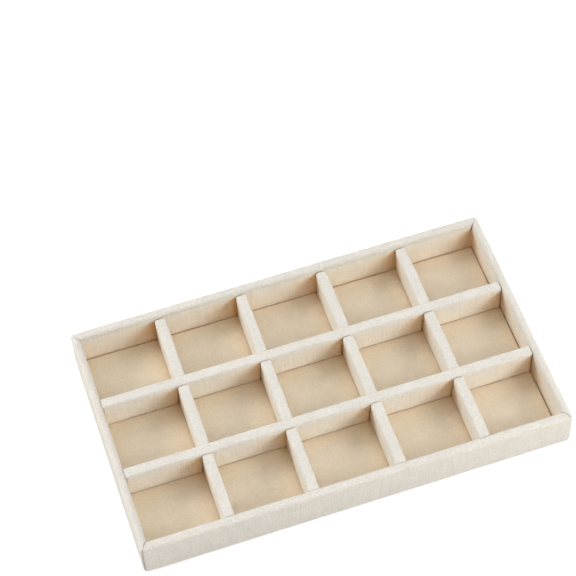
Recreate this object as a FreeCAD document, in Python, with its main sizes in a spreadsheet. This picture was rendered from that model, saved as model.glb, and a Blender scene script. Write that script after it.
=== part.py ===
import FreeCAD, Part
import os

# A shallow jewelry tray with fifteen compartments: wall boards pinned at the corners round a base board, in velour
# covers that are mitred at the corners, with a covered floor card and a loose grid of half-lapped dividers.
# Millimetres. The origin is at the middle of the underside, X runs along the tray, the front is at -Y, Z is up.

doc = FreeCAD.newDocument("JewelryTray")
sheet = doc.addObject("Spreadsheet::Sheet", "Sizes")

drivingSizes = [
    ("length", 297.0, "outside, over the velour"),
    ("width", 174.0, "outside, over the velour"),
    ("height", 30.0, "underside to the top of the rim"),
    ("board", 5.0, "board of the front and back walls and the dividers"),
    ("side_board", 3.5, "board of the side walls"),
    ("velour", 1.2, "pile fabric of every cover"),
    ("base", 2.0, "base board"),
    ("card", 0.8, "card under the floor cover"),
    ("backing", 0.5, "sheet under the tray"),
    ("backing_inset", 2.5, "from the outside of the tray to the edge of the backing sheet"),
    ("hem", 14.0, "wall cover turned under, from the outside of the tray"),
    ("base_lip", 2.0, "base board let into the foot of each wall"),
    ("rabbet", 2.5, "end of a side wall let into the front and back walls"),
    ("rim_round", 1.5, "radius of the wall boards at the rim and the corners"),
    ("foot_round", 0.6, "radius of the wall boards at the foot"),
    ("divider_round", 0.8, "radius of the divider boards along their edges"),
    ("divider_drop", 1.0, "top of the dividers below the rim"),
    ("play", 0.3, "clearance of the floor and the dividers, each side"),
    ("pin_width", 0.8, "diameter of a corner pin"),
    ("pin_length", 12.0, "length of a corner pin"),
    ("pin_low", 9.0, "height of the lower pins"),
    ("pin_high", 22.0, "height of the upper pins"),
]
columns = 5
rows = 3

# Sizes that follow from the driving ones
derivedSizes = [
    ("wall", "board + 2 * velour"),
    ("side_wall", "side_board + 2 * velour"),
    ("slat", "board + 2 * velour"),
    ("bed", "backing + velour"),
    ("seat", "bed + base"),
    ("floor", "seat + card + velour"),
    ("inner_length", "length - 2 * side_wall"),
    ("inner_width", "width - 2 * wall"),
    ("pitch_along", f"(inner_length + slat) / {columns}"),
    ("pitch_across", f"(inner_width + slat) / {rows}"),
    ("divider_top", "height - divider_drop"),
    ("lap", "(floor + divider_top) / 2"),
    ("lap_width", "slat + 2 * play"),
    ("board_edge_along", "length / 2 - velour"),
    ("board_edge_across", "width / 2 - velour"),
]

for row, (alias, value, note) in enumerate(drivingSizes, 1):
    sheet.set(f"A{row}", note)
    sheet.set(f"B{row}", str(value))
    sheet.setAlias(f"B{row}", alias)
for row, (alias, formula) in enumerate(derivedSizes, len(drivingSizes) + 1):
    sheet.set(f"B{row}", f"={formula}")
    sheet.setAlias(f"B{row}", alias)
doc.recompute()

nodes = []
tolerance = 0.0001


def size(words):
    # Formula of sheet words, each turned into a reference to its cell.
    aliases = [entry[0] for entry in drivingSizes + derivedSizes]
    return " ".join(f"Sizes.{word}" if word in aliases else word for word in words.split())


def bind(item, **formulas):
    for name, words in formulas.items():
        item.setExpression(name.replace("__", "."), size(words))
    return item


def block(name, xLow, xHigh, yLow, yHigh, zLow, zHigh, owner=None, kind="Part::Box"):
    # Block between two planes along each axis, free in the document or a feature of a body.
    item = owner.newObject(kind, name) if owner else doc.addObject(kind, name)
    bind(item, Length=f"( {xHigh} ) - ( {xLow} )", Width=f"( {yHigh} ) - ( {yLow} )")
    bind(item, Height=f"( {zHigh} ) - ( {zLow} )")
    return bind(item, Placement__Base__x=xLow, Placement__Base__y=yLow, Placement__Base__z=zLow)


def centred(words):
    return f"0 - ( {words} ) / 2", f"( {words} ) / 2"


def combine(kind, name, shapes):
    item = doc.addObject(kind, name)
    item.Shapes = shapes
    return item


def cut(name, base, tool):
    item = doc.addObject("Part::Cut", name)
    item.Base = base
    item.Tool = tool
    return item


def common(name, base, tool):
    item = doc.addObject("Part::Common", name)
    item.Base = base
    item.Tool = tool
    return item


def node(item, label):
    item.Label = label
    nodes.append(item)
    return item


def value(alias):
    return float(sheet.get(alias))


def roundEdges(body, name, radius, wanted):
    # Fillet of the edges of the body's last feature whose middle satisfies the test.
    doc.recompute()
    tip = body.Tip
    names = [f"Edge{i}" for i, edge in enumerate(tip.Shape.Edges, 1) if wanted(edge, edge.CenterOfMass)]
    fillet = body.newObject("PartDesign::Fillet", name)
    fillet.Base = (tip, names)
    bind(fillet, Radius=radius)
    body.Tip = fillet
    return fillet


def upright(edge):
    return edge.BoundBox.ZLength > max(edge.BoundBox.XLength, edge.BoundBox.YLength)


def at(number, target):
    return abs(number - target) < tolerance


def roundedTray(name, inset, sideWall, wall, low, radius, footRadius):
    # Block with rounded corners, rim and foot, hollowed from above down to the seat of the floor.
    body = doc.addObject("PartDesign::Body", name)
    xLow, xHigh = centred(f"length - 2 * {inset}")
    yLow, yHigh = centred(f"width - 2 * {inset}")
    top = f"height - {inset}"
    block(f"{name}_block", xLow, xHigh, yLow, yHigh, low, top, body, "PartDesign::AdditiveBox")
    doc.recompute()
    topAt = body.Shape.BoundBox.ZMax
    lowAt = body.Shape.BoundBox.ZMin
    roundEdges(body, f"{name}_rim", radius, lambda edge, mid: upright(edge) or at(mid.z, topAt))
    roundEdges(body, f"{name}_foot", footRadius, lambda edge, mid: at(mid.z, lowAt))
    xLow, xHigh = centred(f"length - 2 * ( {inset} + {sideWall} )")
    yLow, yHigh = centred(f"width - 2 * ( {inset} + {wall} )")
    block(f"{name}_hollow", xLow, xHigh, yLow, yHigh, "seat", "height", body, "PartDesign::SubtractiveBox")
    xInner = value("length") / 2 - value("velour") - value("rim_round")
    yInner = value("width") / 2 - value("velour") - value("rim_round")
    roundEdges(body, f"{name}_inner_rim", radius, lambda edge, mid: at(mid.z, topAt)
               and abs(mid.x) < xInner - tolerance and abs(mid.y) < yInner - tolerance)
    return body


def roundedSlat(name, half, inset, top, radius, along):
    # Slat standing on the floor with its top edges and its ends rounded; along is the axis that it runs on.
    body = doc.addObject("PartDesign::Body", name)
    run = centred(f"{half} - 2 * play - 2 * {inset}")
    thick = centred(f"slat - 2 * {inset}")
    sides = run + thick if along == "x" else thick + run
    block(f"{name}_block", *sides, "floor", top, body, "PartDesign::AdditiveBox")
    doc.recompute()
    topAt = body.Shape.BoundBox.ZMax
    roundEdges(body, f"{name}_edges", radius, lambda edge, mid: upright(edge) or at(mid.z, topAt))
    return body


# Forms that the wall boards and the wall covers are split from
rimRadius = "min( rim_round ; 0.45 * board ; 0.45 * side_board )"
slatRadius = "min( divider_round ; 0.45 * board )"
boardForm = roundedTray("board_form", "velour", "side_board", "board", "bed", rimRadius, "foot_round")
coverForm = roundedTray("cover_form", "0", "side_wall", "wall", "backing", f"velour + {rimRadius}",
                        "velour + foot_round")
hemWindow = block("hem_window", *centred("length - 2 * hem"), *centred("width - 2 * hem"), "backing", "bed")
coverShell = cut("cover_shell", coverForm, combine("Part::MultiFuse", "cover_hollow", [boardForm, hemWindow]))

# Base board, let into the foot of every wall
baseBoard = block("base_board", *centred("2 * ( board_edge_along - side_board + base_lip )"),
                  *centred("2 * ( board_edge_across - board + base_lip )"), "bed", "seat")
node(baseBoard, "base_board")

# Corner pins, driven through the front and back walls into the ends of the side walls
pins = []
for end in (-1, 1):
    for face in (-1, 1):
        for level in ("pin_low", "pin_high"):
            pin = doc.addObject("Part::Cylinder", "pin")
            pin.Placement.Rotation = FreeCAD.Rotation(FreeCAD.Vector(1, 0, 0), 90 * face)
            bind(pin, Radius="pin_width / 2", Height="pin_length", Placement__Base__z=level,
                 Placement__Base__x=f"{end} * ( board_edge_along - side_board / 2 )",
                 Placement__Base__y=f"{face} * board_edge_across")
            pins.append(pin)
cornerPins = doc.addObject("Part::Compound", "corner_pins")
cornerPins.Links = pins
node(cornerPins, "corner_pins")

# Wall boards: the side walls run into rabbets in the ends of the front and back walls
sideBlocks = {}
sideReach = centred("2 * ( board_edge_across - board + rabbet )")
sideBlocks["left"] = block("left_block", "0 - board_edge_along", "side_board - board_edge_along",
                           *sideReach, "0", "height")
sideBlocks["right"] = block("right_block", "board_edge_along - side_board", "board_edge_along",
                            *sideReach, "0", "height")
for name, blocks in sideBlocks.items():
    whole = common(f"{name}_wall_whole", boardForm, blocks)
    notches = combine("Part::MultiFuse", f"{name}_wall_notches", [baseBoard] + pins)
    node(cut(f"{name}_wall_board", whole, notches), f"{name}_wall_board")
faceBlocks = {}
fullLength = centred("length")
faceBlocks["front"] = block("front_block", *fullLength, "0 - width / 2", "board - board_edge_across",
                            "0", "height")
faceBlocks["back"] = block("back_block", *fullLength, "board_edge_across - board", "width / 2", "0", "height")
for name, blocks in faceBlocks.items():
    whole = common(f"{name}_wall_whole", boardForm, blocks)
    notches = combine("Part::MultiFuse", f"{name}_wall_notches", [baseBoard, *sideBlocks.values()] + pins)
    node(cut(f"{name}_wall_board", whole, notches), f"{name}_wall_board")

# Wall covers, mitred where they meet at the corners
coverSides = [("front", "length", "width"), ("right", "width", "length"),
              ("back", "length", "width"), ("left", "width", "length")]
for quarter, (name, span, depth) in enumerate(coverSides):
    mitre = doc.addObject("Part::Wedge", f"{name}_mitre")
    bind(mitre, Xmin=f"0 - {span} / 2", Xmax=f"{span} / 2", Ymin=f"0 - {depth} / 2")
    bind(mitre, X2min=f"hem + board - {span} / 2", X2max=f"{span} / 2 - hem - board")
    bind(mitre, Ymax=f"hem + board - {depth} / 2", Zmin="0", Zmax="height", Z2min="0", Z2max="height")
    mitre.Placement.Rotation = FreeCAD.Rotation(FreeCAD.Vector(0, 0, 1), 90 * quarter)
    node(common(f"{name}_wall_cover", coverShell, mitre), f"{name}_wall_cover")

# Filler card between the hems and the sheet that hides them
filler = block("filler_card", *centred("length - 2 * hem"), *centred("width - 2 * hem"), "backing", "bed")
node(filler, "filler_card")
backing = block("underside_sheet", *centred("length - 2 * backing_inset"),
                *centred("width - 2 * backing_inset"), "0", "backing")
node(backing, "underside_sheet")

# Floor card and its cover, turned down over the card's edges
floorCard = block("floor_card", *centred("inner_length - 2 * play - 2 * velour"),
                  *centred("inner_width - 2 * play - 2 * velour"), "seat", "seat + card")
node(floorCard, "floor_card")
floorBlock = block("floor_block", *centred("inner_length - 2 * play"), *centred("inner_width - 2 * play"),
                   "seat", "floor")
node(cut("floor_cover", floorBlock, floorCard), "floor_cover")

# Half-lap slots: the long dividers are slotted from below, the cross dividers from above
slotsBelow = []
for column in range(1, columns):
    middle = f"{column - columns / 2} * pitch_along"
    slotsBelow.append(block(f"slot_below_{column}", f"{middle} - lap_width / 2", f"{middle} + lap_width / 2",
                            *centred("width"), "floor", "lap + play / 2"))
slotsAbove = []
for row in range(1, rows):
    middle = f"{row - rows / 2} * pitch_across"
    slotsAbove.append(block(f"slot_above_{row}", *centred("length"), f"{middle} - lap_width / 2",
                            f"{middle} + lap_width / 2", "lap - play / 2", "height"))
slotsBelowAll = combine("Part::MultiFuse", "slots_below", slotsBelow)
slotsAboveAll = combine("Part::MultiFuse", "slots_above", slotsAbove)


def divider(name, run, along, middle, slots):
    # Board in a cover that is folded over its top and its ends, both slotted for the crossing dividers.
    board = roundedSlat(f"{name}_board_form", run, "velour", "divider_top - velour", slatRadius, along)
    outside = roundedSlat(f"{name}_cover_form", run, "0", "divider_top", f"velour + {slatRadius}", along)
    across = "y" if along == "x" else "x"
    for form in (board, outside):
        bind(form, **{f"Placement__Base__{across}": middle})
    cover = cut(f"{name}_cover_whole", outside, board)
    node(cut(f"{name}_board", board, slots), f"{name}_board")
    node(cut(f"{name}_cover", cover, slots), f"{name}_cover")


for row, place in enumerate(("front", "back"), 1):
    divider(f"long_divider_{place}", "inner_length", "x", f"{row - rows / 2} * pitch_across", slotsBelowAll)
for column in range(1, columns):
    place = f"{column - columns / 2} * pitch_along"
    divider(f"cross_divider_{column}", "inner_width", "y", place, slotsAboveAll)

doc.recompute()
for item in doc.Objects:
    if "Invalid" in item.State or "Error" in item.State:
        raise RuntimeError(f"{item.Name} failed: {item.State}")
for item in nodes:
    if item.Shape.isNull() or not item.Shape.isValid():
        raise RuntimeError(f"{item.Label} has no valid shape")

os.makedirs("parts", exist_ok=True)
for item in nodes:
    item.Shape.exportStep(f"parts/{item.Label}.step")
    solids = item.Shape.Solids
    print(f"{item.Label}: {len(solids)} solid(s), {sum(solid.Volume for solid in solids) / 1000:.2f} cm3")
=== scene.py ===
import math
import bmesh
import bpy
import numpy as np
from mathutils import Matrix, Vector


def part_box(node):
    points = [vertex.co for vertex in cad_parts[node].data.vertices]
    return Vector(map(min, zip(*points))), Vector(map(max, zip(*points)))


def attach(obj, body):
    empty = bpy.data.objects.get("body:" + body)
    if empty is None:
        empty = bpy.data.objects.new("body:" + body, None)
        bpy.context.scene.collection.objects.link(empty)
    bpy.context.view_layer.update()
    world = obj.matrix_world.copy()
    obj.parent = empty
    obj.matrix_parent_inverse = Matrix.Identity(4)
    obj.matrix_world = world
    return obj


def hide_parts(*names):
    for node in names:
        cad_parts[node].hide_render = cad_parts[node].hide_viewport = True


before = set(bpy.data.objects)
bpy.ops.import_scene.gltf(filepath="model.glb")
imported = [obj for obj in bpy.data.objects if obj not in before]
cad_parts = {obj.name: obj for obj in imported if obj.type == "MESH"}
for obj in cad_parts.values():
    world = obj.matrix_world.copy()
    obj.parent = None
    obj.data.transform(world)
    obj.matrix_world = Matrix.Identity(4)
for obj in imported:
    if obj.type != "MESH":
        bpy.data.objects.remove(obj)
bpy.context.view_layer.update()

bpy.context.scene.view_settings.view_transform = "Standard"

# sizes of the covered tray in metres, as in the solids
trayForm = {
    "length": 0.297, "width": 0.174, "height": 0.030,
    "faceWall": 0.0074, "sideWall": 0.0059,      # front and back walls, left and right walls
    "hem": 0.014, "hemLevel": 0.0005,            # cloth turned under the base
    "seat": 0.0037, "floorLevel": 0.0057,
    "columns": 5, "rows": 3, "slat": 0.0074,     # cells along and across, covered divider
    "cloth": 0.0009,                             # thickness of the modelled velour
}
innerLength = trayForm["length"] - 2 * trayForm["sideWall"]
innerWidth = trayForm["width"] - 2 * trayForm["faceWall"]
pitchAlong = (innerLength + trayForm["slat"]) / trayForm["columns"]
pitchAcross = (innerWidth + trayForm["slat"]) / trayForm["rows"]

# painted shade in the cells, strongest in each back right corner
paintedShadeLook = {
    "reach": 0.012, "others": 0.15,              # spread from a corner, share in the other three
    "edges": 0.50, "run": 0.060,                 # share and run along the back and right edges of a floor
    "under": 0.75,                               # share on cloth that goes down beside the pad
    "padTop": 0.0005, "padSide": 0.0003,         # how far over and under the floor level these begin
    "foot": 0.0004,                              # height of a slat's foot, which has a share of its own
    "onset": 5,                                  # it comes in over one fifth of the depth
}


# Mesh building

def ripple(points, wave, seed):
    # mean of nine sine waves in seeded directions, each about one wave long, roughly -1 to 1
    count, gain = 9, 1.6
    rng = np.random.default_rng(seed)
    ways = rng.normal(size=(count, 3))
    ways /= np.linalg.norm(ways, axis=1, keepdims=True)
    ways *= 2 * np.pi / (wave * rng.uniform(0.7, 1.4, size=(count, 1)))
    phase = rng.uniform(0, 2 * np.pi, count)
    return gain * np.sin(points @ ways.T + phase).mean(axis=-1)


def gridFaces(rows, cols, wrap):
    # quad i, j joins the four neighbours i, j to i + 1, j + 1 of a grid;
    # wrap joins the last column to the first
    i, j = np.meshgrid(np.arange(rows - 1), np.arange(cols if wrap else cols - 1), indexing="ij")
    k = (j + 1) % cols
    quads = [i * cols + j, i * cols + k, (i + 1) * cols + k, (i + 1) * cols + j]
    return np.stack(quads, axis=-1).reshape(-1, 4)


def toFarSide(place, span, pitch):
    # distance to the far side of the cell that a place lies in; half of a slat belongs to each neighbour
    slat = trayForm["slat"]
    local = np.mod(place + span / 2, pitch)
    cell = pitch - slat
    return np.where(local > cell + slat / 2, cell, np.clip(cell - local, 0, cell))


def paintedShadeAmount(points, inside, footShade):
    # painted shade, by the exponential of the distance to a cell's back right corner; its other corners, the
    # floor's edges, the pad's side and the slats' feet have shares of their own, and the largest one counts
    look, slat, floor, height = paintedShadeLook, trayForm["slat"], trayForm["floorLevel"], points[:, 2]
    toRight = toFarSide(points[:, 0], innerLength, pitchAlong)
    toBack = toFarSide(points[:, 1], innerWidth, pitchAcross)
    toLeft, toFront = pitchAlong - slat - toRight, pitchAcross - slat - toBack
    shade = np.exp(-(toRight + toBack) / look["reach"])
    beside = np.exp(-np.minimum(toBack, toRight) / look["reach"] - np.maximum(toBack, toRight) / look["run"])
    shade = np.maximum(shade, look["edges"] * beside * (height < floor + look["padTop"]))
    shade = np.maximum(shade, look["under"] * (height < floor - look["padSide"]))
    shade = np.maximum(shade, footShade * (height < floor + look["foot"]))
    for x, y in ((toLeft, toBack), (toRight, toFront), (toLeft, toFront)):
        shade = np.maximum(shade, look["others"] * np.exp(-(x + y) / look["reach"]))
    return shade * np.clip(inside * look["onset"], 0, 1)


def makeCloth(name, grids, material, footShade=0.0):
    # every grid of points becomes a sheet of quads, doubled inwards to the cloth's thickness;
    # the attribute inside goes from -1 on the outer faces over 0 on the rim to 1 at the foot of a cell
    weld, sliver = 2e-6, 1e-6
    points, faces, inside, first = [], [], [], 0
    for grid, within, wrap in grids:
        points.append(grid.reshape(-1, 3))
        inside.append(np.broadcast_to(within, grid.shape[:2]).reshape(-1))
        faces.append(first + gridFaces(grid.shape[0], grid.shape[1], wrap))
        first += grid.shape[0] * grid.shape[1]
    points, inside = np.concatenate(points), np.concatenate(inside)
    mesh = bpy.data.meshes.new(name)
    mesh.from_pydata(points.tolist(), [], np.concatenate(faces).tolist())
    # the second attribute is the amount of painted shade in the cells' corners, along the floor's edges and
    # at the feet
    for label, value in (("inside", inside), ("paintedShade", paintedShadeAmount(points, inside, footShade))):
        mesh.attributes.new(label, "FLOAT", "POINT").data.foreach_set("value", value.astype(np.float32))
    shape = bmesh.new()
    shape.from_mesh(mesh)
    bmesh.ops.remove_doubles(shape, verts=shape.verts, dist=weld)
    bmesh.ops.dissolve_degenerate(shape, edges=shape.edges, dist=sliver)
    shape.to_mesh(mesh)
    shape.free()
    mesh.polygons.foreach_set("use_smooth", [True] * len(mesh.polygons))
    mesh.materials.append(material)
    piece = bpy.data.objects.new(name, mesh)
    bpy.context.scene.collection.objects.link(piece)
    wall = piece.modifiers.new("cloth", "SOLIDIFY")
    wall.thickness = trayForm["cloth"]
    wall.offset = -1
    return piece


# Materials

# most noise values lie in the wide range; the tight one gives more contrast
wideRange, tightRange = (0.3, 0.7), (0.36, 0.64)


def addNode(tree, kind, values=None, **settings):
    # one node with its settings, each value linked if it is a socket and written if it is not
    made = tree.nodes.new(kind)
    for key, setting in settings.items():
        setattr(made, key, setting)
    for key, given in (values or {}).items():
        if isinstance(given, bpy.types.NodeSocket):
            tree.links.new(given, made.inputs[key])
        else:
            made.inputs[key].default_value = given
    return made


def newGroup(name, inputs, outputs):
    group = bpy.data.node_groups.new(name, "ShaderNodeTree")
    for label, kind, start in inputs:
        socket = group.interface.new_socket(name=label, in_out="INPUT", socket_type=kind)
        socket.default_value = start
    for label, kind in outputs:
        group.interface.new_socket(name=label, in_out="OUTPUT", socket_type=kind)
    return group, group.nodes.new("NodeGroupInput"), group.nodes.new("NodeGroupOutput")


def newMaterial(name):
    material = bpy.data.materials.new(name)
    material.use_nodes = True
    tree = material.node_tree
    return material, tree, tree.nodes["Principled BSDF"]


def spread(tree, value, low, high, toLow=0.0, toHigh=1.0):
    # straight line from low..high to toLow..toHigh, held at its ends
    return addNode(tree, "ShaderNodeMapRange", {"Value": value, "From Min": low, "From Max": high,
                                                "To Min": toLow, "To Max": toHigh}).outputs["Result"]


def sumOf(tree, first, second, how="ADD"):
    return addNode(tree, "ShaderNodeMath", {0: first, 1: second}, operation=how).outputs[0]


def blend(tree, share, first, second, how="MIX"):
    return addNode(tree, "ShaderNodeMix", {0: share, 6: first, 7: second}, data_type="RGBA",
                   blend_type=how, clamp_factor=True).outputs[2]


def objectPlace(tree):
    return tree.nodes.new("ShaderNodeTexCoord").outputs["Object"]


def stretched(tree, place, scale):
    return addNode(tree, "ShaderNodeMapping", {"Vector": place, "Scale": scale}).outputs[0]


def noise(tree, place, scale, detail):
    return addNode(tree, "ShaderNodeTexNoise", {"Vector": place, "Scale": scale, "Detail": detail}).outputs[0]


def closedIn(tree, reach, rays, freeRange):
    # 1 where other cloth within reach closes a point in, 0 where the point is free
    free = addNode(tree, "ShaderNodeAmbientOcclusion", {"Distance": reach}, samples=rays).outputs["AO"]
    return spread(tree, free, *freeRange, 1.0, 0.0)


# scale and detail of each noise, the two stretches of the yarns, and their shares
napLook = {"warp": (820, 3), "weft": (700, 2), "pile": (1350, 4), "patch": (130, 4), "slow": (24, 2),
           "upright": (1, 1, 0.07), "level": (0.1, 0.1, 1),
           "weftShare": 0.5, "yarnRelief": 0.35, "rough": (0.78, 0.95)}


def velourNap(look):
    # short brushed pile: upright yarn streaks, grainy pile and slow patches where the nap lies another way
    colour, number = "NodeSocketColor", "NodeSocketFloat"
    group, put, out = newGroup("velourNap", [
        ("Tone", colour, (1, 1, 1, 1)), ("Deep", colour, (0.5, 0.5, 0.5, 1)),
        ("Streaks", number, 0.3), ("Grain", number, 0.3), ("Patches", number, 0.3)],
        [("Color", colour), ("Roughness", number), ("Height", number)])
    place = objectPlace(group)
    warp = noise(group, stretched(group, place, look["upright"]), *look["warp"])
    weft = noise(group, stretched(group, place, look["level"]), *look["weft"])
    pile, patch, slow = (noise(group, place, *look[key]) for key in ("pile", "patch", "slow"))
    yarn = sumOf(group, spread(group, warp, *tightRange),
                 spread(group, weft, *tightRange, 0, look["weftShare"]))
    grain = spread(group, pile, *tightRange)
    lie = sumOf(group, spread(group, patch, *wideRange), spread(group, slow, *wideRange))
    shade = sumOf(group, sumOf(group, yarn, put.outputs["Streaks"], "MULTIPLY"),
                  sumOf(group, grain, put.outputs["Grain"], "MULTIPLY"))
    shade = sumOf(group, shade, sumOf(group, lie, put.outputs["Patches"], "MULTIPLY"))
    height = sumOf(group, sumOf(group, yarn, look["yarnRelief"], "MULTIPLY"), grain)
    group.links.new(blend(group, shade, put.outputs["Tone"], put.outputs["Deep"]), out.inputs["Color"])
    group.links.new(spread(group, lie, 0, 2, *look["rough"]), out.inputs["Roughness"])
    group.links.new(height, out.inputs["Height"])
    return group


napGroup = velourNap(napLook)

# what the velours share: reach, rays and range of the two occlusion masks that gate painted shade, the tone
# of the painted shade in gaps, sheen and gloss
velourLook = {"paintedShadeMask": (0.050, 16, (0.46, 0.64)), "gapShadeMask": (0.0025, 8, (0.18, 0.48)),
              "gapShadeTone": (0.52, 0.38, 0.22),
              "sheenRough": 0.5, "sheenTint": (1.0, 0.97, 0.92), "gloss": 0.12}


def velour(name, look):
    # brushed cloth: the nap group gives colour, roughness and relief, the sheen is the pile seen edge on
    material, tree, skin = newMaterial(name)
    nap = addNode(tree, "ShaderNodeGroup", node_tree=napGroup)
    nap.inputs["Tone"].default_value = (*look["tone"], 1)
    nap.inputs["Deep"].default_value = (*look["deep"], 1)
    for label in ("Streaks", "Grain", "Patches"):
        nap.inputs[label].default_value = look[label.lower()]
    relief = addNode(tree, "ShaderNodeBump", {"Height": nap.outputs["Height"], "Distance": look["relief"],
                                              "Strength": 1.0})
    inside = addNode(tree, "ShaderNodeAttribute", attribute_name="inside").outputs["Fac"]
    # the ramp paints light and shade by where a point lies between the outer faces, the rim and the foot of a
    # cell
    tints = addNode(tree, "ShaderNodeValToRGB", {0: spread(tree, inside, -1, 1)})
    stops = tints.color_ramp.elements
    for place, tint in look["tints"]:
        stop = stops[0] if place == -1 else stops[-1] if place == 1 else stops.new((place + 1) / 2)
        stop.color = (*tint, 1)
    colour = blend(tree, 1.0, nap.outputs["Color"], tints.outputs[0], "MULTIPLY")
    # the painted corner shade only shows while the corner is closed in, so a lifted slat is plain cream
    paintedShade = addNode(tree, "ShaderNodeAttribute", attribute_name="paintedShade").outputs["Fac"]
    paintedShade = sumOf(tree, paintedShade, closedIn(tree, *velourLook["paintedShadeMask"]), "MULTIPLY")
    colour = blend(tree, paintedShade, colour, (*look["paintedShade"], 1), "MULTIPLY")
    # painted shade: narrow gaps between pieces of cloth are darkened to a deep brown
    gap = closedIn(tree, *velourLook["gapShadeMask"])
    colour = blend(tree, gap, colour, (*velourLook["gapShadeTone"], 1), "MULTIPLY")
    tree.links.new(colour, skin.inputs["Base Color"])
    tree.links.new(nap.outputs["Roughness"], skin.inputs["Roughness"])
    tree.links.new(relief.outputs[0], skin.inputs["Normal"])
    skin.inputs["Sheen Weight"].default_value = look["sheen"]
    skin.inputs["Sheen Roughness"].default_value = velourLook["sheenRough"]
    skin.inputs["Sheen Tint"].default_value = (*velourLook["sheenTint"], 1)
    skin.inputs["Specular IOR Level"].default_value = velourLook["gloss"]
    return material


# tone and deep are the pile's two shades; the tints are painted light and shade along inside: the outer faces
# (-1) and most of all the rim (0) are painted darker and cooler to even out the light, a band of painted
# shade lies under the rim's inner edge, and painted shade grows warmer and darker down to the foot of a cell
# (1); paintedShade is the tint of the painted shade in the cells' corners
wallTones = {"tone": (0.960, 0.915, 0.835), "deep": (0.68, 0.63, 0.55),
             "tints": ((-1, (0.935, 0.915, 0.88)), (0.01, (0.813, 0.817, 0.827)), (0.05, (0.785, 0.77, 0.73)),
                       (0.14, (1.0, 0.98, 0.91)), (1, (0.99, 0.90, 0.735))),
             "paintedShade": (0.88, 0.47, 0.07),
             "streaks": 0.25, "grain": 0.41, "patches": 0.03, "relief": 0.00034, "sheen": 0.95}
slatTones = {**wallTones,
             "tints": ((-1, (1, 1, 1)), (0.005, (0.82, 0.824, 0.832)), (0.05, (1.0, 1.0, 0.97)),
                       (1, (0.98, 0.93, 0.815)))}
padTones = {"tone": (0.857, 0.760, 0.602), "deep": (0.63, 0.535, 0.40),
            "tints": ((-1, (1, 1, 1)), (1, (1, 1, 1))),
            "paintedShade": (0.90, 0.65, 0.37),
            "streaks": 0.10, "grain": 0.30, "patches": 0.13, "relief": 0.00024, "sheen": 0.35}
wallVelour = velour("wallVelour", wallTones)
slatVelour = velour("slatVelour", slatTones)
padVelour = velour("padVelour", padTones)

# what boards, cards and papers share: noise details, the specks' range, and the share of each in the shade
stockLook = {"fibreDetail": 5, "speckDetail": 1, "slow": (18, 2), "speckRange": (0.62, 0.7),
             "fibreShare": 0.6, "speckShare": 0.5, "slowShare": 0.25, "roughSpan": 0.15, "gloss": 0.25}


def fleckedStock(name, look):
    # pressed board, card or paper: fibres drawn long one way, with specks and a slow tone change
    material, tree, skin = newMaterial(name)
    place, stock = objectPlace(tree), stockLook
    fibre = noise(tree, stretched(tree, place, look["drawn"]), look["fibre"], stock["fibreDetail"])
    speck = noise(tree, place, look["speck"], stock["speckDetail"])
    slow = noise(tree, place, *stock["slow"])
    shade = sumOf(tree, spread(tree, fibre, *wideRange, 0, stock["fibreShare"]),
                  spread(tree, speck, *stock["speckRange"], 0, stock["speckShare"]))
    shade = sumOf(tree, shade, spread(tree, slow, *wideRange, 0, stock["slowShare"]))
    rough = spread(tree, fibre, *wideRange, look["rough"], look["rough"] + stock["roughSpan"])
    relief = addNode(tree, "ShaderNodeBump", {"Height": fibre, "Distance": look["relief"], "Strength": 1.0})
    tree.links.new(blend(tree, shade, (*look["tone"], 1), (*look["deep"], 1)), skin.inputs["Base Color"])
    tree.links.new(rough, skin.inputs["Roughness"])
    tree.links.new(relief.outputs[0], skin.inputs["Normal"])
    skin.inputs["Specular IOR Level"].default_value = stock["gloss"]
    return material


fibreboard = fleckedStock("fibreboard", {"tone": (0.50, 0.35, 0.20), "deep": (0.30, 0.19, 0.10),
                                         "drawn": (1, 1, 2.5), "fibre": 700, "speck": 1300,
                                         "relief": 0.00012, "rough": 0.75})
greyCard = fleckedStock("greyCard", {"tone": (0.46, 0.44, 0.40), "deep": (0.30, 0.28, 0.25),
                                     "drawn": (1, 3, 1), "fibre": 500, "speck": 1500,
                                     "relief": 0.00006, "rough": 0.80})
liningPaper = fleckedStock("liningPaper", {"tone": (0.74, 0.70, 0.61), "deep": (0.62, 0.57, 0.48),
                                           "drawn": (1, 2, 1), "fibre": 420, "speck": 1100,
                                           "relief": 0.00005, "rough": 0.70})


def drawnSteel(name, look):
    # bright wire with fine lengthwise draw marks
    material, tree, skin = newMaterial(name)
    mark = noise(tree, stretched(tree, objectPlace(tree), look["drawn"]), *look["mark"])
    tree.links.new(blend(tree, mark, (*look["tone"], 1), (*look["deep"], 1)), skin.inputs["Base Color"])
    tree.links.new(spread(tree, mark, *wideRange, *look["rough"]), skin.inputs["Roughness"])
    skin.inputs["Metallic"].default_value = 1.0
    return material


pinSteel = drawnSteel("pinSteel", {"tone": (0.62, 0.61, 0.59), "deep": (0.48, 0.47, 0.45),
                                   "drawn": (1, 1, 0.05), "mark": (4000, 3), "rough": (0.28, 0.45)})
print("materials ready")


# Wall covers

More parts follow.
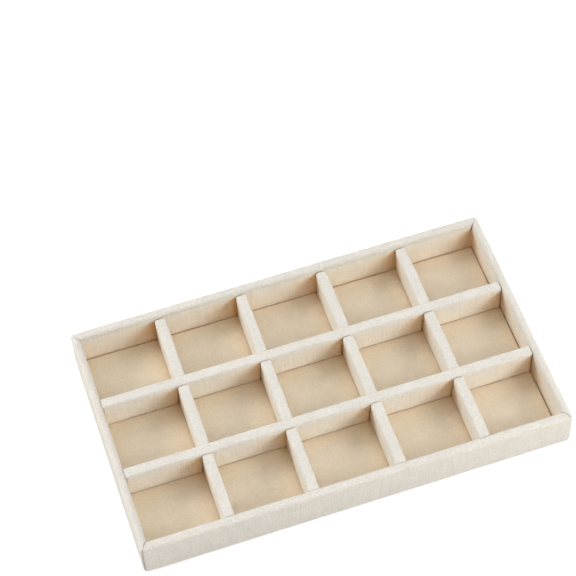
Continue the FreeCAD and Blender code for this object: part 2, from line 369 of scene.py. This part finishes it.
wallLook = {
    "footRound": 0.0018, "rimOut": 0.0023, "rimIn": 0.0031,
    "cornerRound": 0.0030, "leastRound": 0.0002,
    # points along each part of the profile, and columns along half a wall
    "steps": {"hem": 7, "outer": 16, "flat": 4, "inner": 20, "turn": 9}, "columns": 90,
    # width at the foot of the flap that laps round each inner corner; it tapers to nothing below the rim
    "flaps": {"frontLeft": 0.0030, "frontRight": 0.0030, "backRight": 0.0052, "backLeft": 0.0013},
    "flapTop": 0.0035, "flapFold": 0.0008, "flapMost": 1.1,
    "foldSteps": (0.3, 0.6), "plainSteps": (0.2, 0.4, 0.6, 0.8), "plainZone": 0.0030,
    "seamBack": (0.0022, 0.0015, 0.0009, 0.0005, 0.00025, 0.00010, 0.00002),
    "seamSink": (0.0, 0.0, 0.0, 0.00004, 0.00018, 0.00045, 0.0008),
    "seamGap": 0.00010, "seamShare": 0.8,        # the steps to a seam take at most this share of a lap
    # how open each corner's seam is on the outer face, over the rim and down the inner corner
    "seams": {"frontLeft": (1.0, 0.6, 0.2), "frontRight": (0.35, 0.6, 0.3),
              "backRight": (0.5, 0.3, 0.9), "backLeft": (0.5, 0.25, 0.12)},
    "wave": 0.035, "lift": 0.00012, "waveShift": 0.37, "seed": 11,
    # how far the rim stands out beyond the foot, where that begins and the run over which it grows
    "leanBack": 0.0009, "backFrom": 0.050, "backRun": 0.030,
    "leanRight": -0.0005, "rightFrom": 0.100, "rightRun": 0.042,
}
cornerNames = ("frontLeft", "frontRight", "backRight", "backLeft")


def wallProfile(thickness):
    # hem, quarter round, outer face, quarter round, flat rim, quarter round and inner face,
    # each point with its depth, height and normal
    form, steps = trayForm, wallLook["steps"]
    foot, rim, lip, top = wallLook["footRound"], wallLook["rimOut"], wallLook["rimIn"], form["height"]
    turn = np.linspace(0, np.pi / 2, steps["turn"])
    hem = np.linspace(form["hem"], foot, steps["hem"])[:-1]
    outer = np.linspace(form["hemLevel"] + foot, top - rim, steps["outer"])[1:-1]
    flat = np.linspace(rim, thickness - lip, steps["flat"])[1:-1]
    inner = np.linspace(top - lip, form["seat"], steps["inner"])[1:]
    one = np.ones_like
    depth = [hem, foot - foot * np.sin(turn), 0 * outer, rim - rim * np.cos(turn), flat,
             thickness - lip + lip * np.sin(turn), thickness * one(inner)]
    level = [form["hemLevel"] * one(hem), form["hemLevel"] + foot - foot * np.cos(turn), outer,
             top - rim + rim * np.sin(turn), top * one(flat), top - lip + lip * np.cos(turn), inner]
    out = [0 * hem, np.sin(turn), one(outer), np.cos(turn), 0 * flat, -np.sin(turn), -one(inner)]
    up = [-one(hem), -np.cos(turn), 0 * outer, np.sin(turn), one(flat), np.cos(turn), 0 * inner]
    return [np.concatenate(part) for part in (depth, level, out, up)]


def lean(grid):
    # rims stand out beyond their foot by the square of the height, at the back and at the right only
    look = wallLook
    rise = (np.clip(grid[..., 2], 0, None) / trayForm["height"]) ** 2
    toRight = np.clip((grid[..., 0] - look["rightFrom"]) / look["rightRun"], 0, 1)
    toBack = np.clip((grid[..., 1] - look["backFrom"]) / look["backRun"], 0, 1)
    shift = [look["leanRight"] * rise * toRight, look["leanBack"] * rise * toBack, 0 * rise]
    return grid + np.stack(shift, axis=-1)


def seamStrength(corner, out):
    # the corner's three strengths, chosen by where the profile faces
    steep = 0.7
    outer, rim, inner = wallLook["seams"][corner]
    return np.where(out > steep, outer, np.where(out < -steep, inner, rim))[:, None]


def wallGrid(quarter, halfAlong, halfAcross, own, other, laps):
    # the profile runs straight along the wall, then round the corner to the mitre line, where both depths
    # meet; below the rim a wall that laps folds round the inner corner onto its neighbour, and the ends of
    # every wall sink into the seams
    form, look, diagonal, tiny = trayForm, wallLook, math.sqrt(2), 1e-6
    depth, level, out, up = (part[:, None] for part in wallProfile(own))
    bend = np.maximum(look["cornerRound"] - depth, look["leastRound"])
    arc = bend * np.pi / 4
    innerFace, underside = out < -0.99, up < -0.1
    drop = form["height"] - look["flapTop"]
    share = np.clip((drop - level) / (drop - form["floorLevel"]), 0, look["flapMost"]) * innerFace
    part = np.linspace(0, 1, look["columns"])[None, :]
    halves, normals = [], []
    for way, corner in ((-1, cornerNames[quarter]), (1, cornerNames[(quarter + 1) % 4])):
        opened = seamStrength(corner, out[:, 0])
        flap = look["flaps"][corner] * share
        fold = np.minimum(flap, look["flapFold"]) * laps
        lap = (flap - fold) * laps
        straight = halfAlong - wallProfile(other)[0][:, None] - flap * (not laps) - bend - fold
        turned = straight + arc + fold * diagonal
        total = turned + lap
        scale = np.where(lap > 0, np.minimum(lap * look["seamShare"] / look["seamBack"][0], 1), 1)
        back = (np.array(look["seamBack"])[None, :] + opened * look["seamGap"]) * scale
        last, body = total - back[:, :1], np.where(lap > 0, straight, total - look["plainZone"])
        onLap = [turned + step * (last - turned) for step in look["foldSteps"]]
        folded = np.concatenate([straight + arc, turned, *onLap], axis=1)
        plain = body + (last - body) * np.array([look["plainSteps"]])
        run = np.concatenate([part * body, np.where(lap > 0, folded, plain), total - back], axis=1)
        sink = np.zeros(run.shape)
        sink[:, -back.shape[1]:] = np.array(look["seamSink"])[None, :] * opened
        phi = np.clip((run - straight) / bend, 0, np.pi / 4)
        past = np.maximum(run - straight - arc, 0)
        slant = np.minimum(past / diagonal, fold)
        over = np.maximum(past - fold * diagonal, 0) * (lap > 0)
        along = np.minimum(run, straight) + bend * np.sin(phi) + slant
        inward = depth + bend * (1 - np.cos(phi)) + slant + over
        facing = np.where(over > tiny, np.pi / 2, phi)
        normal = np.stack([way * out * np.sin(facing), -out * np.cos(facing), up + 0 * phi], axis=-1)
        halves.append(np.stack([way * along, inward - halfAcross, level + 0 * along], axis=-1)
                      - sink[..., None] * normal)
        normals.append(normal)
    grid = np.concatenate([halves[0][:, :0:-1], halves[1]], axis=1)
    normal = np.concatenate([normals[0][:, :0:-1], normals[1]], axis=1)
    lift = look["lift"] * ripple(grid + look["waveShift"] * quarter, look["wave"], look["seed"] + quarter)
    grid = grid + lift[..., None] * normal
    c, s = round(math.cos(quarter * math.pi / 2)), round(math.sin(quarter * math.pi / 2))
    within = np.clip((form["height"] - level) / (form["height"] - form["floorLevel"]), 0, 1)
    within = np.where(out < 0, within, np.where(underside, -1, -out))
    grid = grid @ np.array([[c, s, 0], [-s, c, 0], [0, 0, 1]])
    return lean(grid), within, False


def wallStrip(thickness):
    # cut width of a wall's strip, the length of its profile
    depth, level = wallProfile(thickness)[:2]
    return float(np.hypot(np.diff(depth), np.diff(level)).sum())


halfLength, halfWidth = trayForm["length"] / 2, trayForm["width"] / 2
for quarter, side in enumerate(("front", "right", "back", "left")):
    faceWall = quarter % 2 == 0
    own = trayForm["faceWall" if faceWall else "sideWall"]
    other = trayForm["sideWall" if faceWall else "faceWall"]
    along, across = (halfLength, halfWidth) if faceWall else (halfWidth, halfLength)
    cover = makeCloth(side + "WallVelour", [wallGrid(quarter, along, across, own, other, not faceWall)],
                      wallVelour)
    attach(cover, "tray")
    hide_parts(side + "_wall_cover")
    wallStrip(own)
print("wall covers ready")


# Floor pad and dividers

padLook = {"corner": 0.0022, "edge": 0.0007, "wave": 0.030, "lift": 0.00010,
           "mesh": (190, 110, 14, 5, 46), "seed": 41}
slatLook = {
    "play": 0.0003, "top": 0.029, "lap": 0.01735, "lapPlay": 0.00015,
    "corner": 0.0016, "edge": 0.0014,
    # sideways place of each cross slat's near and far end
    "skew": ((0.0003, 0.0008), (-0.0007, 0.0006), (0.0006, 0.0003), (0.0005, 0.0005)),
    "press": 0.0006,         # how far a long slat's left end is pressed into the wall's pile
    "butt": 0.0010,          # how far a cross slat's near end reaches over, pressed against its neighbour
    "short": 0.0002,         # more gap at the right end of a long slat
    "farGap": 0.0003,        # more gap at the back of a cross slat
    "tuck": 0.0005,          # how far the cloth is drawn in under the foot
    "footShade": 0.9,           # the share of painted shade there
    "wave": 0.028, "lift": 0.00012,
    "longMesh": (560, 8, 8, 16, 5), "crossMesh": (8, 60, 8, 16, 5), "longSeed": 61, "crossSeed": 70,
}
# the low rail of a cross slat stands back inside the full height parts, at its sides and at its ends
railLook = {**slatLook, "corner": 0.0005, "edge": 0.0008, "sideBack": 0.00010, "endBack": 0.003,
            "mesh": (8, 140, 4, 8, 4)}


def roundedOutline(sideX, sideY, arc):
    # a rounded rectangle anticlockwise from its +x side: corner signs and heading of each point
    runX, runY = np.linspace(1, -1, sideX, endpoint=False), np.linspace(-1, 1, sideY, endpoint=False)
    turn = np.linspace(0, np.pi / 2, arc, endpoint=False)
    one = np.ones_like
    signX = [one(runY), one(turn), runX, -one(turn), -one(runY), -one(turn), -runX, one(turn)]
    signY = [runY, one(turn), one(runX), one(turn), -runY, -one(turn), -one(runX), -one(turn)]
    heading = [0 * runY, turn, 0 * runX + np.pi / 2, turn + np.pi / 2, 0 * runY + np.pi, turn + np.pi,
               0 * runX + 1.5 * np.pi, turn + 1.5 * np.pi]
    return [np.concatenate(part) for part in (signX, signY, heading)]


def capGrid(box, look, mesh, seed, slots=None, tuck=0.0):
    # the outline goes straight up, rolls in over a quarter round and closes over the top to a centre line;
    # slots are cut up from the foot to the lap, and the foot itself is drawn in by the tuck
    rollSteps, crowding = 8, 1.5
    (x0, y0, z0), (x1, y1, z1) = box
    sideX, sideY, arc, rises, flats = mesh
    corner, edge = look["corner"], look["edge"]
    signX, signY, heading = roundedOutline(sideX, sideY, arc)
    halfX, halfY = (x1 - x0) / 2, (y1 - y0) / 2
    turn = np.linspace(0, np.pi / 2, rollSteps)[:, None]
    foot = 0 * heading + z0
    if slots:
        run = signX * (halfX - corner) + (x0 + x1) / 2
        away = np.abs(run[None, :] - np.array(slots)[:, None])
        inSlot = np.any(away < trayForm["slat"] / 2 + slatLook["play"], axis=0)
        foot = np.where(inSlot, slatLook["lap"] + slatLook["lapPlay"], foot)
    rise = np.linspace(0, 1, rises)[:-1, None]
    flat = np.linspace(0, 1, flats + 1)[1:, None] ** crowding
    inset = np.concatenate([tuck * (rise == 0), edge - edge * np.cos(turn),
                            edge + (min(halfX, halfY) - edge) * flat])
    level = np.concatenate([foot + (z1 - edge - foot) * rise, 0 * foot + z1 - edge + edge * np.sin(turn),
                            0 * foot + z1 + 0 * flat])
    out = np.concatenate([1 + 0 * rise, np.cos(turn), 0 * flat])
    up = np.concatenate([0 * rise, np.sin(turn), 1 + 0 * flat])
    radius = np.maximum(corner - inset, 0)
    x = signX * np.maximum(halfX - inset - radius, 0) + radius * np.cos(heading)
    y = signY * np.maximum(halfY - inset - radius, 0) + radius * np.sin(heading)
    grid = np.stack([x + (x0 + x1) / 2, y + (y0 + y1) / 2, level], axis=-1)
    normal = np.stack([out * np.cos(heading), out * np.sin(heading), up + 0 * x], axis=-1)
    within = np.clip((slatLook["top"] - level) / (slatLook["top"] - trayForm["floorLevel"]), 0, 1)
    lift = look["lift"] * ripple(grid, look["wave"], seed)
    return grid + lift[..., None] * normal, within, True


padLow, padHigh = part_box("floor_cover")
padBox = (tuple(padLow), tuple(padHigh))
pad = makeCloth("floorVelourPad", [capGrid(padBox, padLook, padLook["mesh"], padLook["seed"])], padVelour)
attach(pad, "tray")
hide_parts("floor_cover")


def makeSlat(name, node, body, grids):
    cover = makeCloth(name, grids, slatVelour, slatLook["footShade"])
    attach(cover, body)
    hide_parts(node)


def longSlat(place, halfRun, slots, seed):
    # one sheet over the whole rail, slotted from below at every cross slat
    look, half = slatLook, trayForm["slat"] / 2
    box = ((-halfRun - look["press"], place - half, trayForm["floorLevel"]),
           (halfRun - look["short"], place + half, look["top"]))
    return [capGrid(box, look, look["longMesh"], seed, slots=slots, tuck=look["tuck"])]


def crossSlat(place, halfRun, slots, skew, seed):
    # full height between the slots cut from the top, over one low rail that runs through under the long
    # slats; the slat stands a little askew in its slots
    look, half, bottom = slatLook, trayForm["slat"] / 2, trayForm["floorLevel"]
    gap, side, end = half + look["play"], half - railLook["sideBack"], halfRun - railLook["endBack"]
    edges = [-halfRun] + [s + d * gap for s in slots for d in (-1, 1)] + [halfRun - look["farGap"]]
    grids = []
    for a, b in zip(edges[0::2], edges[1::2]):
        box = ((place - half, a - look["butt"], bottom), (place + half, b, look["top"]))
        grids.append(capGrid(box, look, look["crossMesh"], seed, tuck=look["tuck"]))
    box = ((place - side, -end, bottom), (place + side, end, look["lap"] - look["lapPlay"]))
    grids.append(capGrid(box, railLook, railLook["mesh"], seed, tuck=look["tuck"]))
    for grid, _, _ in grids:
        part = np.clip(grid[..., 1] / (2 * halfRun) + 0.5, 0, 1)
        grid[..., 0] += skew[0] + (skew[1] - skew[0]) * part
    return [(lean(grid), within, wrap) for grid, within, wrap in grids]


crossPlaces = [(n - trayForm["columns"] / 2) * pitchAlong for n in range(1, trayForm["columns"])]
longPlaces = [(n - trayForm["rows"] / 2) * pitchAcross for n in range(1, trayForm["rows"])]
longRun, crossRun = innerLength / 2 - slatLook["play"], innerWidth / 2 - slatLook["play"]
for place, side in zip(longPlaces, ("front", "back")):
    stem = "long_divider_" + side
    grids = longSlat(place, longRun, crossPlaces, slatLook["longSeed"] + len(side))
    makeSlat("longSlat" + side.capitalize() + "Velour", stem + "_cover", stem, grids)
for number, place in enumerate(crossPlaces, 1):
    stem = f"cross_divider_{number}"
    grids = crossSlat(place, crossRun, longPlaces, slatLook["skew"][number - 1],
                      slatLook["crossSeed"] + number)
    makeSlat(f"crossSlat{number}Velour", stem + "_cover", "cross_dividers", grids)
print("floor pad and dividers ready")


# Boards, cards, paper and pins keep their solids

stockOf = {"base_board": greyCard, "floor_card": greyCard, "filler_card": greyCard,
           "underside_sheet": liningPaper, "corner_pins": pinSteel}
for node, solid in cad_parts.items():
    if node.endswith("_cover"):
        continue
    stock = stockOf.get(node, fibreboard)
    if len(solid.material_slots) == 0:
        solid.data.materials.append(stock)
    for slot in solid.material_slots:
        slot.material = stock
print("solids dressed")


# Room, light and camera

roomLook = {"floorSpan": 6.0, "floorLevel": -0.0001, "floorTone": 0.60, "floorRough": 0.9, "whiten": 0.55,
            "clearNear": 0.002, "sky": 0.28}
lampLook = {"front": {"place": (0.00, -0.80, 1.25), "span": 0.9, "watts": 4.9},
            "left": {"place": (-1.00, 0.00, 1.15), "span": 0.9, "watts": 2.0},
            "right": {"place": (1.00, 0.00, 1.15), "span": 0.8, "watts": 4.2},
            "back": {"place": (0.00, 1.00, 1.20), "span": 1.0, "watts": 6.6},
            "lowLeft": {"place": (-1.00, 0.42, 0.52), "span": 0.45, "watts": 9.3},
            "lowRight": {"place": (0.55, -0.62, 0.45), "span": 0.4, "watts": 4.5}}
lampAim = Vector((0, 0, 0))
cameraLook = {"lens": 123.696, "sensor": 36.0, "near": 0.05, "place": (-0.20731, -0.65911, 1.15985),
              "azimuth": -16.071, "elevation": 55.989, "roll": 2.963}


def seenRay(tree):
    # 1 for a ray that the camera, a reflection or a glass sees directly
    path = tree.nodes.new("ShaderNodeLightPath")
    seen = sumOf(tree, path.outputs["Is Camera Ray"], path.outputs["Is Glossy Ray"], "MAXIMUM")
    return sumOf(tree, seen, path.outputs["Is Transmission Ray"], "MAXIMUM")


def studioFloor():
    # a matt grey plane that looks white to the camera
    span = roomLook["floorSpan"] / 2
    mesh = bpy.data.meshes.new("studioFloor")
    low = roomLook["floorLevel"]
    mesh.from_pydata([(-span, -span, low), (span, -span, low), (span, span, low), (-span, span, low)], [],
                     [(0, 1, 2, 3)])
    ground = bpy.data.objects.new("studioFloor", mesh)
    bpy.context.scene.collection.objects.link(ground)
    material, tree, skin = newMaterial("studioFloor")
    tone = roomLook["floorTone"]
    skin.inputs["Base Color"].default_value = (tone, tone, tone, 1)
    skin.inputs["Roughness"].default_value = roomLook["floorRough"]
    skin.inputs["Specular IOR Level"].default_value = 0.0
    whiten = sumOf(tree, seenRay(tree), roomLook["whiten"], "MULTIPLY")
    glow = addNode(tree, "ShaderNodeEmission", {"Color": (1, 1, 1, 1), "Strength": whiten})
    both = addNode(tree, "ShaderNodeAddShader", {0: skin.outputs[0], 1: glow.outputs[0]})
    # clear from below and right under the tray, so that its underside can be seen
    length = tree.nodes.new("ShaderNodeLightPath").outputs["Ray Length"]
    near = sumOf(tree, length, roomLook["clearNear"], "LESS_THAN")
    below = sumOf(tree, tree.nodes.new("ShaderNodeNewGeometry").outputs["Backfacing"], near, "MAXIMUM")
    clear = addNode(tree, "ShaderNodeMixShader", {0: below, 1: both.outputs[0],
                                                  2: tree.nodes.new("ShaderNodeBsdfTransparent").outputs[0]})
    tree.links.new(clear.outputs[0], tree.nodes["Material Output"].inputs["Surface"])
    mesh.materials.append(material)


def studioLight():
    # a white sky that is dimmer as a light than it looks, and round lamps that the camera doesn't see
    world = bpy.data.worlds.new("studio")
    bpy.context.scene.world = world
    world.use_nodes = True
    tree = world.node_tree
    sky = tree.nodes["Background"]
    sky.inputs["Color"].default_value = (1, 1, 1, 1)
    level = spread(tree, seenRay(tree), 0, 1, roomLook["sky"], 1.0)
    tree.links.new(level, sky.inputs["Strength"])
    for name, look in lampLook.items():
        lamp = bpy.data.lights.new(name, "AREA")
        lamp.shape = "DISK"
        lamp.size = look["span"]
        lamp.energy = look["watts"]
        holder = bpy.data.objects.new(name, lamp)
        holder.location = look["place"]
        holder.visible_camera = False
        way = lampAim - Vector(look["place"])
        holder.rotation_euler = way.to_track_quat("-Z", "Y").to_euler()
        bpy.context.scene.collection.objects.link(holder)


def studioCamera():
    # looks ahead by azimuth and elevation, with its right and above axes turned by the roll
    a, e, r = (math.radians(cameraLook[key]) for key in ("azimuth", "elevation", "roll"))
    ahead = Vector((-math.sin(a) * math.cos(e), math.cos(a) * math.cos(e), -math.sin(e)))
    level = Vector((math.cos(a), math.sin(a), 0))
    upright = level.cross(ahead)
    right = math.cos(r) * level - math.sin(r) * upright
    above = math.cos(r) * upright + math.sin(r) * level
    lens = bpy.data.cameras.new("studioCamera")
    lens.lens = cameraLook["lens"]
    lens.sensor_width = cameraLook["sensor"]
    lens.clip_start = cameraLook["near"]
    camera = bpy.data.objects.new("studioCamera", lens)
    turn = Matrix((right, above, -ahead)).transposed().to_4x4()
    camera.matrix_world = Matrix.Translation(cameraLook["place"]) @ turn
    bpy.context.scene.collection.objects.link(camera)
    bpy.context.scene.camera = camera


studioFloor()
studioLight()
studioCamera()
print("room ready")
